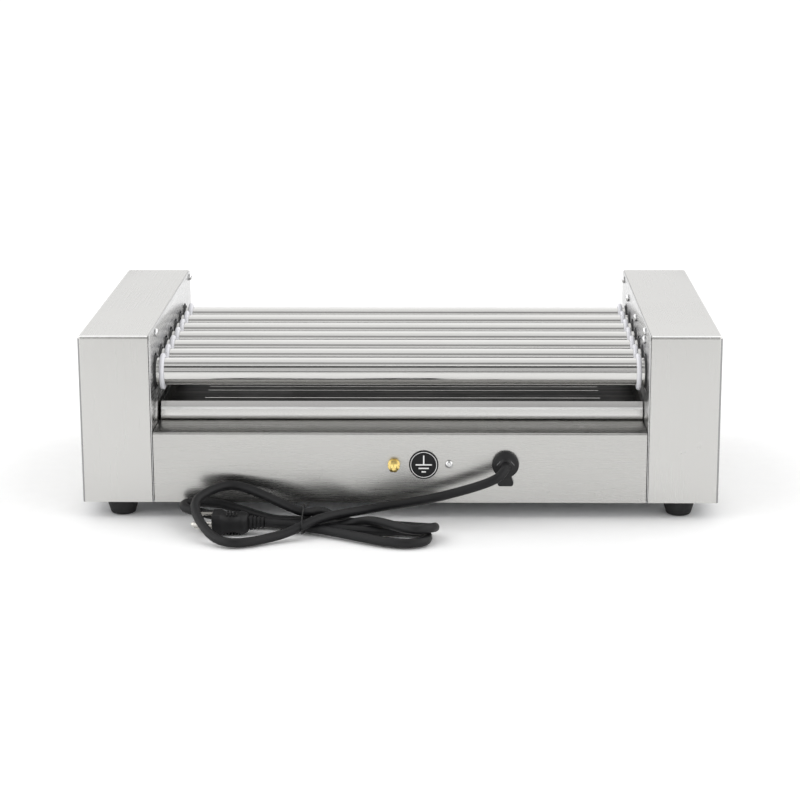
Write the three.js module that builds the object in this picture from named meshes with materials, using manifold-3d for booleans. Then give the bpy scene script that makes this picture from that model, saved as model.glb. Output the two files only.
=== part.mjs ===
// Hot dog roller grill with seven rollers, as separate parts in their working places.
// Millimetres, +Z up. The operator stands at -Y, and the operator's left is -X.
// The origin is on the surface that the feet stand on, under the middle of the machine.
import * as THREE from "three";
import { mergeVertices } from "three/addons/utils/BufferGeometryUtils.js";
import Module from "manifold-3d";

const wasm = await Module();
wasm.setup();

// ---- driving dimensions ----
const WIDTH = 580;
const DEPTH = 330;
const FOOT_HEIGHT = 15;
const HEIGHT = 170;
const DECK_TOP = 80.5;
const SHEET = 1.2; // stainless sheet
const GAP = 0.3; // between parts that touch
const BEND = 2; // outer radius of a sheet's bends
const PROUD = 13; // how far the knobs and the earth stud stand out of the body

const HALF_DEPTH = DEPTH / 2;
const HALF_WIDTH = WIDTH / 2;
const INNER_FACE = 226.7; // of each end box, from the middle
const PANEL_END = INNER_FACE - 2.5; // leaves a narrow seam beside each side plate

const ROLLERS = 7;
const ROLLER_PITCH = 38.8;
const ROLLER_REAR_Y = 124.5;
const ROLLER_Z = 128.5;
const ROLLER_RADIUS = 12.7;
const ROLLER_WALL = 1.5;
const TUBE_LEFT_X = -262;
const TUBE_RIGHT_X = 246;
const RUN = 0.3; // radial running clearance of rings and bearings on the tubes

const SEAL_RADIUS = 16.8;
const SEAL_INNER_X = 216;
const SEAL_THICKNESS = 4.5;
const WALL_HOLE_RADIUS = 17;
const PLATE_X = INNER_FACE - SHEET - 0.6; // of the side plates, on the rollers' side
const FLANGE_DROP = 12; // of the covers' inner top edges
const RAIL_THICKNESS = 7;
const BEARING_RADIUS = 14.8; // of the collars that reach through the side plates

const CHAIN_PITCH = 6.35;
const SPROCKET_X = -251;
const SPROCKET_THICKNESS = 3;
const ROLLER_TEETH = 16;
const MOTOR_TEETH = 10;
const MOTOR_SHAFT_RADIUS = 3.8;
const MOTOR_Z = 47;

const TRAY_LEFT_X = -224;
const TRAY_RIGHT_X = 222.3;
const TRAY_FRONT = -150;
const TRAY_REAR = 117.5;
const TRAY_BOTTOM = DECK_TOP + 0.4;
const TRAY_TOP = 97.8;
const TRAY_SHEET = 1;

const FOOT_X = 256;
const FOOT_Y = 145;

const CONTROL_Z = 48; // height of the controls on the front panel
const SWITCH_X = -150;
const KNOB_X = [-10, 110];
const LAMP_X = [-65, 55];
const KNOB_RADIUS = 18;
const SPINDLE_RADIUS = 3;
const ROCKER_TILT = 9; // degrees from the middle to either side

const GLAND = { x: -96.2, z: 51.7, radius: 12.2 };
const EARTH = { x: 5.1, z: 51 };
const BADGE = { x: -22, z: 51, radius: 13.35 };
const PANEL_SCREW = { x: -45.1, z: 51.4 };

const CORD_RADIUS = 4.2;
const PLUG = { x: 134, y: 214, z: 10.4 }; // rear end of the plug's body
const TIE_X = 85;

const rollerY = Array.from({ length: ROLLERS }, (_, i) => ROLLER_REAR_Y - i * ROLLER_PITCH).reverse();
const MOTOR_Y = (rollerY[0] + rollerY[ROLLERS - 1]) / 2;

// ---- helpers ----

// A box between two corners.
function box(low, high) {
  const size = high.map((v, i) => v - low[i]);
  const g = new THREE.BoxGeometry(...size);
  return g.translate(...low.map((v, i) => v + size[i] / 2));
}

// A turned solid about the X axis through (y, z). The profile lists [x, radius].
function turnedX(profile, y, z, sides = 24) {
  const points = profile.map(([x, r]) => new THREE.Vector2(r, x));
  return new THREE.LatheGeometry(points, sides)
    .rotateZ(-Math.PI / 2)
    .translate(0, y, z);
}

// A turned solid about the Y axis through (x, z). The profile lists [y, radius], y rising.
function turnedY(profile, x, z, sides = 24) {
  const points = profile.map(([y, r]) => new THREE.Vector2(r, y));
  return new THREE.LatheGeometry(points, sides).translate(x, 0, z);
}

// A plain cylinder along X or Y, as a turned profile.
const rodX = (x0, x1, r, y, z, sides) => turnedX([[x0, 0], [x0, r], [x1, r], [x1, 0]], y, z, sides);
const rodY = (y0, y1, r, x, z, sides) => turnedY([[y0, 0], [y0, r], [y1, r], [y1, 0]], x, z, sides);

// A ring about the X axis.
function ringX(x0, x1, outer, inner, y, z, sides) {
  const profile = [[x0, inner], [x0, outer], [x1, outer], [x1, inner], [x0, inner]];
  return turnedX(profile, y, z, sides);
}

// Extrudes an outline drawn in (y, z) along X.
function alongX(shape, x0, x1, curveSegments = 12) {
  const g = new THREE.ExtrudeGeometry(shape, { depth: x1 - x0, bevelEnabled: false, curveSegments });
  const toYZ = new THREE.Matrix4().makeBasis(
    new THREE.Vector3(0, 1, 0),
    new THREE.Vector3(0, 0, 1),
    new THREE.Vector3(1, 0, 0),
  );
  return g.applyMatrix4(toYZ).translate(x0, 0, 0);
}

// The outline of a folded sheet: the path [a, b] points and the same path a thickness to its left.
function foldedSheet(path, thickness) {
  const points = path.map(([a, b]) => new THREE.Vector2(a, b));
  const normals = points.slice(1).map((p, i) => {
    const along = p.clone().sub(points[i]).normalize();
    return new THREE.Vector2(-along.y, along.x);
  });
  const offset = points.map((p, i) => {
    const before = normals[Math.max(i - 1, 0)];
    const after = normals[Math.min(i, normals.length - 1)];
    const miter = before.clone().add(after).normalize();
    return p.clone().addScaledVector(miter, thickness / miter.dot(after));
  });
  return new THREE.Shape([...points, ...offset.reverse()]);
}

// A rectangle about (a, b) with its corners cut off.
function chamferedRectangle(a, b, halfA, halfB, edge) {
  const quarter = [[halfA, halfB - edge], [halfA - edge, halfB]];
  const turns = [[1, 1], [-1, 1], [-1, -1], [1, -1]];
  const points = turns.flatMap(([sa, sb]) => {
    const pair = quarter.map(([da, db]) => new THREE.Vector2(a + sa * da, b + sb * db));
    return sa === sb ? pair : pair.reverse();
  });
  return new THREE.Shape(points);
}

// The outline of a belt round circles listed counter-clockwise as { a, b, r }.
function beltPath(circles, Path = THREE.Path) {
  const leave = circles.map((p, i) => {
    const q = circles[(i + 1) % circles.length];
    const distance = Math.hypot(q.a - p.a, q.b - p.b);
    return Math.atan2(q.b - p.b, q.a - p.a) - Math.acos((p.r - q.r) / distance);
  });
  const path = new Path();
  circles.forEach((c, i) => {
    path.absarc(c.a, c.b, c.r, leave.at(i - 1), leave[i], false);
  });
  return path;
}

// A closed band round circles, between two distances from them.
function band(circles, inner, outer, x0, x1) {
  const grown = (by) => circles.map(({ a, b, r }) => ({ a, b, r: r + by }));
  const outline = beltPath(grown(outer), THREE.Shape);
  outline.holes.push(beltPath(grown(inner)));
  return alongX(outline, x0, x1, 8);
}

function toSolid(geometry) {
  const bare = geometry.clone();
  bare.deleteAttribute("normal");
  bare.deleteAttribute("uv");
  const merged = mergeVertices(bare, 1e-3);
  const mesh = new wasm.Mesh({
    numProp: 3,
    vertProperties: new Float32Array(merged.attributes.position.array),
    triVerts: new Uint32Array(merged.index.array),
  });
  return new wasm.Manifold(mesh);
}

function toGeometry(solid) {
  const mesh = solid.getMesh();
  const g = new THREE.BufferGeometry();
  g.setAttribute("position", new THREE.BufferAttribute(mesh.vertProperties, 3));
  g.setIndex(new THREE.BufferAttribute(mesh.triVerts, 1));
  return g.toNonIndexed();
}

// The first geometry with the others joined to it.
function join(first, ...others) {
  return toGeometry(others.reduce((sum, g) => sum.add(toSolid(g)), toSolid(first)));
}

// The first geometry with the others cut from it.
function cut(first, ...others) {
  return toGeometry(others.reduce((sum, g) => sum.subtract(toSolid(g)), toSolid(first)));
}

const grill = new THREE.Group();

function addPart(name, geometry, look) {
  geometry.deleteAttribute("uv");
  geometry.computeVertexNormals();
  const mesh = new THREE.Mesh(geometry, new THREE.MeshStandardMaterial({ flatShading: true, ...look }));
  mesh.name = name;
  grill.add(mesh);
}

// ---- looks ----
const STAINLESS = { color: 0xc4c3be, metalness: 1, roughness: 0.35 };
const POLISHED = { color: 0xdcdcda, metalness: 1, roughness: 0.12 };
const GALVANISED = { color: 0x9a9c9e, metalness: 0.9, roughness: 0.5 };
const CHAIN_STEEL = { color: 0x55575a, metalness: 0.9, roughness: 0.4 };
const WHITE_PLASTIC = { color: 0xd6d6dc, metalness: 0, roughness: 0.5 };
const BLACK_PLASTIC = { color: 0x1c1c20, metalness: 0, roughness: 0.5 };
const BLACK_RUBBER = { color: 0x222224, metalness: 0, roughness: 0.8 };
const BRASS = { color: 0xc9a23a, metalness: 1, roughness: 0.3 };
const AMBER = { color: 0xd9861e, metalness: 0, roughness: 0.2 };
const RED = { color: 0xa01410, metalness: 0, roughness: 0.25 };
const HEATER = { color: 0x4a4642, metalness: 0.7, roughness: 0.6 };

// ---- body ----

// One sheet folded over front panel, deck and back panel, with the holes of both panels.
function centreHousing() {
  const y = HALF_DEPTH;
  const corner = BEND * (1 - Math.SQRT1_2);
  const outside = [
    [-y, FOOT_HEIGHT],
    [-y, DECK_TOP - BEND],
    [-y + corner, DECK_TOP - corner],
    [-y + BEND, DECK_TOP],
    [y - BEND, DECK_TOP],
    [y - corner, DECK_TOP - corner],
    [y, DECK_TOP - BEND],
    [y, FOOT_HEIGHT],
  ];
  const sheet = alongX(foldedSheet(outside, -SHEET), -PANEL_END, PANEL_END);
  const through = (y0, { x, z }, r) => rodY(y0 - 2 * SHEET, y0 + 2 * SHEET, r, x, z, 16);
  const rear = [
    through(y, GLAND, 10),
    through(y, EARTH, 3.6),
    through(y, PANEL_SCREW, 2.3),
  ];
  const front = [...KNOB_X, ...LAMP_X].map((x) => through(-y, { x, z: CONTROL_Z }, 5.2));
  const switchLow = [SWITCH_X - 10, -y - 2, CONTROL_Z - 15.4];
  const switchHole = box(switchLow, [SWITCH_X + 10, -y + 2, CONTROL_Z + 15.4]);
  return cut(sheet, ...rear, ...front, switchHole);
}

function basePlate() {
  const x = HALF_WIDTH - SHEET - GAP;
  const y = HALF_DEPTH - SHEET - GAP;
  return box([-x, -y, FOOT_HEIGHT], [x, y, FOOT_HEIGHT + SHEET]);
}

// Closes the end box towards the rollers. side is -1 on the operator's left and 1 on the right.
function sidePlate(side) {
  const y = HALF_DEPTH - SHEET - GAP;
  const bottom = FOOT_HEIGHT + SHEET + GAP;
  const xs = [side * PLATE_X, side * (PLATE_X + SHEET)].sort((a, b) => a - b);
  const plate = box([xs[0], -y, bottom], [xs[1], y, HEIGHT - GAP]);
  const drill = (r, holeY, z) => rodX(xs[0] - 1, xs[1] + 1, r, holeY, z, 16);
  const holes = rollerY.map((rollerAxis) => drill(WALL_HOLE_RADIUS, rollerAxis, ROLLER_Z));
  const wireHole = drill(8, -115, 40);
  const bossHole = drill(10, MOTOR_Y, MOTOR_Z);
  return side < 0 ? cut(plate, ...holes, wireHole, bossHole) : cut(plate, ...holes, wireHole);
}

// A five-sided shell, open below and towards the rollers, with a flange along its inner top edge.
function endCover(side) {
  const y = HALF_DEPTH;
  const corner = BEND * (1 - Math.SQRT1_2);
  const x = HALF_WIDTH;
  const outline = new THREE.Shape([
    new THREE.Vector2(INNER_FACE, FOOT_HEIGHT),
    new THREE.Vector2(x, FOOT_HEIGHT),
    new THREE.Vector2(x, HEIGHT - BEND),
    new THREE.Vector2(x - corner, HEIGHT - corner),
    new THREE.Vector2(x - BEND, HEIGHT),
    new THREE.Vector2(INNER_FACE + BEND, HEIGHT),
    new THREE.Vector2(INNER_FACE + corner, HEIGHT - corner),
    new THREE.Vector2(INNER_FACE, HEIGHT - BEND),
  ]);
  const block = new THREE.ExtrudeGeometry(outline, { depth: DEPTH, bevelEnabled: false })
    .rotateX(Math.PI / 2)
    .translate(0, y, 0);
  const inside = box(
    [INNER_FACE + SHEET, -y + SHEET, 0],
    [x - SHEET, y - SHEET, HEIGHT - SHEET],
  );
  const innerSide = box([0, -y + SHEET, 0], [INNER_FACE + 2 * SHEET, y - SHEET, HEIGHT - FLANGE_DROP]);
  const cover = cut(block, inside, innerSide);
  return side > 0 ? cover : cover.rotateZ(Math.PI);
}

function foot(x, y) {
  const top = FOOT_HEIGHT - GAP;
  const profile = [[0, 0], [10, 0], [11.5, 1.5], [14.8, 13], [14.8, top], [0, top]];
  const points = profile.map(([r, z]) => new THREE.Vector2(r, z));
  return new THREE.LatheGeometry(points, 20).rotateX(Math.PI / 2).translate(x, y, 0);
}

// ---- rollers and drive ----

function rollerTube(y) {
  const inner = ROLLER_RADIUS - ROLLER_WALL;
  return ringX(TUBE_LEFT_X, TUBE_RIGHT_X, ROLLER_RADIUS, inner, y, ROLLER_Z, 20);
}

// A plastic ring with a rounded rim, tight on the tube.
function sealRing(side, y) {
  const inner = ROLLER_RADIUS + RUN;
  const rim = SEAL_RADIUS - inner;
  const half = SEAL_THICKNESS / 2;
  const middle = side * (SEAL_INNER_X + half);
  const shares = [[-1, 0], [-0.8, 0.6], [-0.4, 0.9], [0, 1], [0.4, 0.9], [0.8, 0.6], [1, 0], [-1, 0]];
  return turnedX(shares.map(([along, out]) => [middle + along * half, inner + out * rim]), y, ROLLER_Z, 18);
}

// A strip behind the side plate with a collar for each roller tube, reaching out through the plate.
function bearingRail(side) {
  const start = PLATE_X + SHEET + GAP;
  const tip = SEAL_INNER_X + SEAL_THICKNESS + 0.5;
  const xs = [side * start, side * (start + RAIL_THICKNESS)].sort((a, b) => a - b);
  const ys = [rollerY[0] - 22, rollerY[ROLLERS - 1] + 22];
  const strip = box([xs[0], ys[0], ROLLER_Z - 17], [xs[1], ys[1], ROLLER_Z + 17]);
  const reach = [side * tip, side * (start + 1)].sort((a, b) => a - b);
  const collars = rollerY.map((y) => rodX(...reach, BEARING_RADIUS, y, ROLLER_Z, 16));
  const bore = ROLLER_RADIUS + RUN + 0.2;
  const through = [Math.min(...xs, ...reach) - 1, Math.max(...xs, ...reach) + 1];
  return cut(join(strip, ...collars), ...rollerY.map((y) => rodX(...through, bore, y, ROLLER_Z, 16)));
}

const pitchRadius = (teeth) => CHAIN_PITCH / (2 * Math.sin(Math.PI / teeth));
const tipRadius = (teeth) => pitchRadius(teeth) + 1.9;

// A chain sprocket: straight-sided teeth round a bore.
function sprocket(teeth, bore, y, z, boreSides) {
  const root = pitchRadius(teeth) - 1.4;
  const tip = tipRadius(teeth);
  const step = (2 * Math.PI) / teeth;
  const toothPoints = [[root, -0.27], [tip, -0.09], [tip, 0.09], [root, 0.27]];
  const outline = new THREE.Shape();
  for (let i = 0; i < teeth; i++) {
    for (const [r, share] of toothPoints) {
      const angle = (i + share) * step;
      const point = [y + r * Math.cos(angle), z + r * Math.sin(angle)];
      if (i === 0 && share === toothPoints[0][1]) outline.moveTo(...point);
      else outline.lineTo(...point);
    }
  }
  if (bore > 0) {
    const angles = Array.from({ length: boreSides }, (_, i) => (i * 2 * Math.PI) / boreSides);
    const ring = angles.map((a) => new THREE.Vector2(y + bore * Math.cos(a), z + bore * Math.sin(a)));
    outline.holes.push(new THREE.Path(ring));
  }
  const half = SPROCKET_THICKNESS / 2;
  return alongX(outline, SPROCKET_X - half, SPROCKET_X + half);
}

// The gear motor's output shaft with its own sprocket.
function motorSprocket() {
  const shaft = rodX(SPROCKET_X - 6, -(PLATE_X + 8), MOTOR_SHAFT_RADIUS, MOTOR_Y, MOTOR_Z, 16);
  return join(sprocket(MOTOR_TEETH, 0, MOTOR_Y, MOTOR_Z), shaft);
}

// One chain loop over all roller sprockets and down round the motor's.
function driveChain() {
  const circles = [
    { a: MOTOR_Y, b: MOTOR_Z, r: tipRadius(MOTOR_TEETH) },
    { a: rollerY[ROLLERS - 1], b: ROLLER_Z, r: tipRadius(ROLLER_TEETH) },
    { a: rollerY[0], b: ROLLER_Z, r: tipRadius(ROLLER_TEETH) },
  ];
  return band(circles, 0.6, 3, SPROCKET_X - 2.5, SPROCKET_X + 2.5);
}

// Gearbox, motor can and output boss in line, under the deck.
function gearMotor() {
  const profile = [
    [-(PLATE_X + 7), 0],
    [-(PLATE_X + 7), 8],
    [-PANEL_END, 8],
    [-PANEL_END, 28],
    [-PANEL_END + 22, 28],
    [-PANEL_END + 22, 24],
    [-PANEL_END + 58, 24],
    [-PANEL_END + 58, 0],
  ];
  return turnedX(profile, MOTOR_Y, MOTOR_Z, 20);
}

// A heating rod through each roller, held by a bar with two brackets at either end.
function heaterRack() {
  const back = rollerY[ROLLERS - 1] + 28;
  const front = rollerY[0] - 28;
  const bars = [-1, 1].flatMap((side) => {
    const barX = side < 0 ? TUBE_LEFT_X - 6 : TUBE_RIGHT_X + 18;
    const xs = [barX - 1.5, barX + 1.5];
    const bar = box([xs[0], front, ROLLER_Z - 7], [xs[1], back, ROLLER_Z + 7]);
    const reach = [side * (PLATE_X + SHEET + GAP), barX].sort((a, b) => a - b);
    const bracket = (y) => box([reach[0], y, ROLLER_Z - 7], [reach[1], y + 2, ROLLER_Z + 7]);
    return [bar, bracket(front), bracket(back - 2)];
  });
  const rods = rollerY.map((y) => rodX(TUBE_LEFT_X - 9, TUBE_RIGHT_X + 28, 4, y, ROLLER_Z, 8));
  return join(...bars, ...rods);
}

// ---- drip tray ----

function dripTray() {
  const t = TRAY_SHEET;
  const bendZ = 91.6;
  const rearWall = TRAY_REAR - 1.5; // at the bend: the rear wall leans in a little
  const lean = 2.6;
  const endTop = 96;
  const lipFront = TRAY_FRONT - 13;
  const path = [
    [lipFront + t, 90],
    [lipFront + t, TRAY_TOP - t],
    [TRAY_FRONT, TRAY_TOP - t],
    [TRAY_FRONT, TRAY_BOTTOM],
    [TRAY_REAR, TRAY_BOTTOM],
    [rearWall, bendZ],
    [rearWall - lean, TRAY_TOP],
  ];
  const pan = alongX(foldedSheet(path, t), TRAY_LEFT_X, TRAY_RIGHT_X);
  const endOutline = new THREE.Shape([
    new THREE.Vector2(TRAY_FRONT + t / 2, TRAY_BOTTOM + t / 2),
    new THREE.Vector2(TRAY_REAR - t / 2, TRAY_BOTTOM + t / 2),
    new THREE.Vector2(rearWall - t / 2, bendZ),
    new THREE.Vector2(rearWall - lean, endTop),
    new THREE.Vector2(TRAY_FRONT + t / 2, endTop),
  ]);
  const ends = [TRAY_LEFT_X, TRAY_RIGHT_X - t].map((x) => alongX(endOutline, x, x + t));
  return join(pan, ...ends);
}

// ---- controls on the front panel ----

// A snap-in switch body with a recess for its rocker.
function switchBody() {
  const y = -HALF_DEPTH;
  const outer = (w, h, y0, y1) => box([SWITCH_X - w, y0, CONTROL_Z - h], [SWITCH_X + w, y1, CONTROL_Z + h]);
  const rim = outer(12, 17.5, y - 2, y - GAP);
  const body = outer(9.6, 15, y - 1, y + 27);
  const recess = outer(8.2, 13.9, y - 4, y + 8);
  return cut(join(rim, body), recess);
}

// The rocker leans one way at rest, with its lower half pressed in.
function switchRocker() {
  const outline = new THREE.Shape([
    new THREE.Vector2(-2.4, 0),
    new THREE.Vector2(-4.2, -12.8),
    new THREE.Vector2(5, -11.5),
    new THREE.Vector2(6.4, -4),
    new THREE.Vector2(6.4, 4),
    new THREE.Vector2(5, 11.5),
    new THREE.Vector2(-4.2, 12.8),
  ]);
  return alongX(outline, -7.6, 7.6)
    .rotateX(THREE.MathUtils.degToRad(ROCKER_TILT))
    .translate(SWITCH_X, -HALF_DEPTH, CONTROL_Z);
}

function thermostat(x) {
  const y = -HALF_DEPTH + SHEET + GAP;
  const body = box([x - 17, y, CONTROL_Z - 16], [x + 17, y + 30, CONTROL_Z + 16]);
  return cut(body, rodY(y - 1, y + 14, SPINDLE_RADIUS + 0.8, x, CONTROL_Z, 12));
}

// Skirt, grip and spindle of one control knob.
function knob(x) {
  const front = -HALF_DEPTH - PROUD;
  const back = -HALF_DEPTH - 0.8;
  const profile = [
    [front, 0],
    [front, 12.5],
    [front + 1.2, 13.5],
    [back - 3, 14.5],
    [back - 2.2, KNOB_RADIUS],
    [back, KNOB_RADIUS],
    [back, SPINDLE_RADIUS],
    [-HALF_DEPTH + 13, SPINDLE_RADIUS],
    [-HALF_DEPTH + 13, 0],
  ];
  return turnedY(profile, x, CONTROL_Z, 24);
}

function lamp(x) {
  const y = -HALF_DEPTH;
  const profile = [
    [y - 4, 0],
    [y - 3.4, 3],
    [y - 1.6, 4.6],
    [y - 1.6, 6.5],
    [y - GAP, 6.5],
    [y - GAP, 4.7],
    [y + 18, 4.7],
    [y + 18, 0],
  ];
  return turnedY(profile, x, CONTROL_Z, 16);
}

// ---- fittings on the back panel ----

// Brass stud through the panel with a nut on both sides and a thumb nut near its tip.
function earthTerminal() {
  const y = HALF_DEPTH;
  const profile = [
    [y - 8, 0],
    [y - 8, 3],
    [y - SHEET - 3, 3],
    [y - SHEET - 3, 5.5],
    [y - SHEET - GAP, 5.5],
    [y - SHEET - GAP, 3],
    [y + GAP, 3],
    [y + GAP, 5.7],
    [y + 1.5, 5.7],
    [y + 1.5, 3.6],
    [y + 4, 3.6],
    [y + 4, 5.6],
    [y + 9, 5.6],
    [y + 9, 2.9],
    [y + PROUD, 2.4],
    [y + PROUD, 0],
  ];
  return turnedY(profile, EARTH.x, EARTH.z, 18);
}

function earthBadge() {
  return rodY(HALF_DEPTH + GAP, HALF_DEPTH + GAP + 0.9, BADGE.radius, BADGE.x, BADGE.z, 32);
}

function panelScrew() {
  const y = HALF_DEPTH;
  const profile = [
    [y - 6, 0],
    [y - 6, 1.9],
    [y + GAP, 1.9],
    [y + GAP, 3.75],
    [y + 1.6, 3.5],
    [y + 2.6, 2],
    [y + 2.6, 0],
  ];
  return turnedY(profile, PANEL_SCREW.x, PANEL_SCREW.z, 16);
}

// Strain-relief bush: a round head with a lug below it, a neck through the panel, and a short collar.
function cordGland() {
  const y = HALF_DEPTH;
  const { x, z, radius } = GLAND;
  const head = rodY(y + GAP, y + 5, radius, x, z, 24);
  const lug = box([x - 7, y + GAP, z - 19.9], [x + 7, y + 4.4, z]);
  const neck = rodY(y - 9, y + 2, 9.5, x, z, 16);
  const collar = turnedY([[y + 2, 0], [y + 2, 7], [y + 7.5, CORD_RADIUS + 1], [y + 7.5, 0]], x, z - 0.3, 16);
  return join(head, lug, neck, collar);
}

// ---- mains cord ----

// The route from the bush to the plug, down to the surface behind the machine: a big loop that
// leans on the back panel, then a hank of three folds, all passing through the tie.
const CORD_ROUTE = [
  [-96.2, 173.2, 51.4],
  [-95.9, 178.6, 50.9],
  [-88, 187.5, 44.5],
  [-42, 186.5, 28.4],
  [26.5, 188, 15.8],
  [70, 216.5, 15],
  [104.5, 237.5, 6.2],
  [144, 256, 4.8],
  [162, 246, 7],
  [181, 214, 21],
  [180, 198, 28],
  [152, 177.5, 34.6],
  [85, 199.8, 16.4],
  [70, 189, 13.6],
  [50, 190, 5.2],
  [20, 199, 4.8],
  [-28, 218, 7.4],
  [-32.4, 229.5, 11.4],
  [-27.5, 241, 14],
  [-14, 246.5, 14.1],
  [22, 219, 13.8],
  [37, 206, 8.8],
  [53, 202.3, 5.2],
  [85, 195, 6.6],
  [115, 185, 5.4],
  [165, 169.9, 15],
  [193.5, 177, 17.4],
  [194, 188, 16.8],
  [182, 197, 15.6],
  [135, 196.5, 6.6],
  [85, 204.3, 6.6],
  [50, 215, 4.9],
  [10, 221.5, 4.8],
  [-10, 221, 4.8],
  [-24, 228, 4.8],
  [-24, 249, 4.8],
  [-10, 256, 4.8],
  [8, 252.5, 4.8],
  [85, 213.4, 6.6],
  [119.2, 214, 10.3],
];

function powerCord() {
  const route = CORD_ROUTE.map((p) => new THREE.Vector3(...p));
  const path = new THREE.CatmullRomCurve3(route, false, "centripetal");
  path.arcLengthDivisions = 1200;
  const section = new THREE.Shape().absarc(0, 0, CORD_RADIUS, 0, 2 * Math.PI, false);
  return new THREE.ExtrudeGeometry(section, { steps: 80, extrudePath: path, curveSegments: 5 });
}

// A wire tie round the five strands of the bundle, with its twisted ends in front.
function cordTie() {
  const strands = [
    { a: 195, b: 6.6, r: CORD_RADIUS + 0.4 },
    { a: 213.4, b: 6.6, r: CORD_RADIUS + 0.4 },
    { a: 226, b: 11.6, r: CORD_RADIUS + 2 },
    { a: 198.9, b: 16.8, r: CORD_RADIUS + 1 },
  ];
  const loop = band(strands, 0.4, 1.7, TIE_X - 1.3, TIE_X + 1.3);
  const twist = box([TIE_X - 1.3, 233.5, 7.5], [TIE_X + 1.3, 239, 10]);
  return join(loop, twist);
}

// Moulded three-pin plug lying on its side, with a ribbed relief towards the cord.
function mainsPlug() {
  const { x, y, z } = PLUG;
  const length = 32;
  const reliefLength = 14;
  const front = x + length;
  const corners = chamferedRectangle(y, z, 11.7, 10, 3.5);
  const body = alongX(corners, x, front);
  const tip = x - reliefLength;
  const relief = turnedX([[tip, 0], [tip, CORD_RADIUS + 0.8], [x + 1, 7], [x + 1, 0]], y, z, 16);
  const pinY = y - 6.6;
  const blade = (bladeZ) =>
    box([front - 1, pinY - 3.15, bladeZ - 0.75], [front + 17.5, pinY + 3.15, bladeZ + 0.75]);
  const earthPin = rodX(front - 1, front + 19, 2.4, y + 5.3, z, 12);
  return join(body, relief, blade(z - 6.35), blade(z + 6.35), earthPin);
}

// ---- assembly ----

const SIDES = { left: -1, right: 1 };

addPart("centre_housing", centreHousing(), STAINLESS);
addPart("base_plate", basePlate(), GALVANISED);
for (const [name, side] of Object.entries(SIDES)) {
  addPart(`side_plate_${name}`, sidePlate(side), STAINLESS);
  addPart(`end_cover_${name}`, endCover(side), STAINLESS);
  addPart(`bearing_rail_${name}`, bearingRail(side), BLACK_PLASTIC);
  addPart(`foot_front_${name}`, foot(side * FOOT_X, -FOOT_Y), BLACK_RUBBER);
  addPart(`foot_rear_${name}`, foot(side * FOOT_X, FOOT_Y), BLACK_RUBBER);
}

rollerY.forEach((y, i) => {
  const number = i + 1;
  addPart(`roller_tube_${number}`, rollerTube(y), POLISHED);
  addPart(`seal_left_${number}`, sealRing(-1, y), WHITE_PLASTIC);
  addPart(`seal_right_${number}`, sealRing(1, y), WHITE_PLASTIC);
  addPart(`sprocket_${number}`, sprocket(ROLLER_TEETH, ROLLER_RADIUS + RUN, y, ROLLER_Z, 16), CHAIN_STEEL);
});

addPart("motor_sprocket", motorSprocket(), CHAIN_STEEL);
addPart("drive_chain", driveChain(), CHAIN_STEEL);
addPart("gear_motor", gearMotor(), GALVANISED);
addPart("heater_rack", heaterRack(), HEATER);
addPart("drip_tray", dripTray(), STAINLESS);

addPart("switch_body", switchBody(), BLACK_PLASTIC);
addPart("switch_rocker", switchRocker(), RED);
["front", "rear"].forEach((zone, i) => {
  addPart(`thermostat_${zone}`, thermostat(KNOB_X[i]), GALVANISED);
  addPart(`knob_${zone}`, knob(KNOB_X[i]), BLACK_PLASTIC);
  addPart(`lamp_${zone}`, lamp(LAMP_X[i]), AMBER);
});

addPart("earth_terminal", earthTerminal(), BRASS);
addPart("earth_badge", earthBadge(), BLACK_PLASTIC);
addPart("panel_screw", panelScrew(), POLISHED);
addPart("cord_gland", cordGland(), BLACK_RUBBER);
addPart("power_cord", powerCord(), BLACK_RUBBER);
addPart("cord_tie", cordTie(), BLACK_PLASTIC);
addPart("mains_plug", mainsPlug(), BLACK_RUBBER);

export default grill;
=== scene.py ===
"""Looks of the roller grill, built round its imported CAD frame.

The frame is in metres. The shapes below are written in millimetres, as the CAD source is, and are
scaled once when a piece is made. -Y is the operator's side and +Y the back, where the cord leaves.
"""

import math

import bmesh
import bpy
from mathutils import Matrix, Vector


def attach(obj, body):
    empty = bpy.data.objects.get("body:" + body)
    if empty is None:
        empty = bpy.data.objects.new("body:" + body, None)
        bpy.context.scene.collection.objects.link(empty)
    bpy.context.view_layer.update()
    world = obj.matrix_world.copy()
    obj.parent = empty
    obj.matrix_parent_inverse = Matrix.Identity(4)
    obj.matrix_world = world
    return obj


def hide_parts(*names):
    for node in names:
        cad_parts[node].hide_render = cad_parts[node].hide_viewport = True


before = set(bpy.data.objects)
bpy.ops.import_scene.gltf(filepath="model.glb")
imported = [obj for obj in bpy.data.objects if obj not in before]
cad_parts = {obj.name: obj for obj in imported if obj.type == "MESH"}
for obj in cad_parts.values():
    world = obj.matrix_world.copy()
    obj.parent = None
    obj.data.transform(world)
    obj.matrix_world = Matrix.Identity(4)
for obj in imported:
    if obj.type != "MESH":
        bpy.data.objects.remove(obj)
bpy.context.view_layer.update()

MM = 0.001
SHARP = 32.0  # degrees; sharper edges stay crisp

HALF_DEPTH = 165.0
HALF_WIDTH = 290.0
HEIGHT = 170.0
FOOT_HEIGHT = 15.0
FOOT_X, FOOT_Y = 256, 145
DECK_TOP = 80.5
SHEET = 1.2
GAP = 0.3  # between parts that touch
PANEL_END = 224.2  # of the housing, from the middle
PLATE_X = 224.9  # of the side plates, on the rollers' side
PLATE_Y = 163.5  # half the depth of the side plates and the base

ROLLER_Y = [124.5 - 38.8 * i for i in range(6, -1, -1)]
ROLLER_Z = 128.5
ROLLER_RADIUS = 12.7
TUBE_ENDS = (-262, 246)
BORE_RADIUS = 13.2  # of the bearing collars
COLLAR_RADIUS = 14.8

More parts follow.
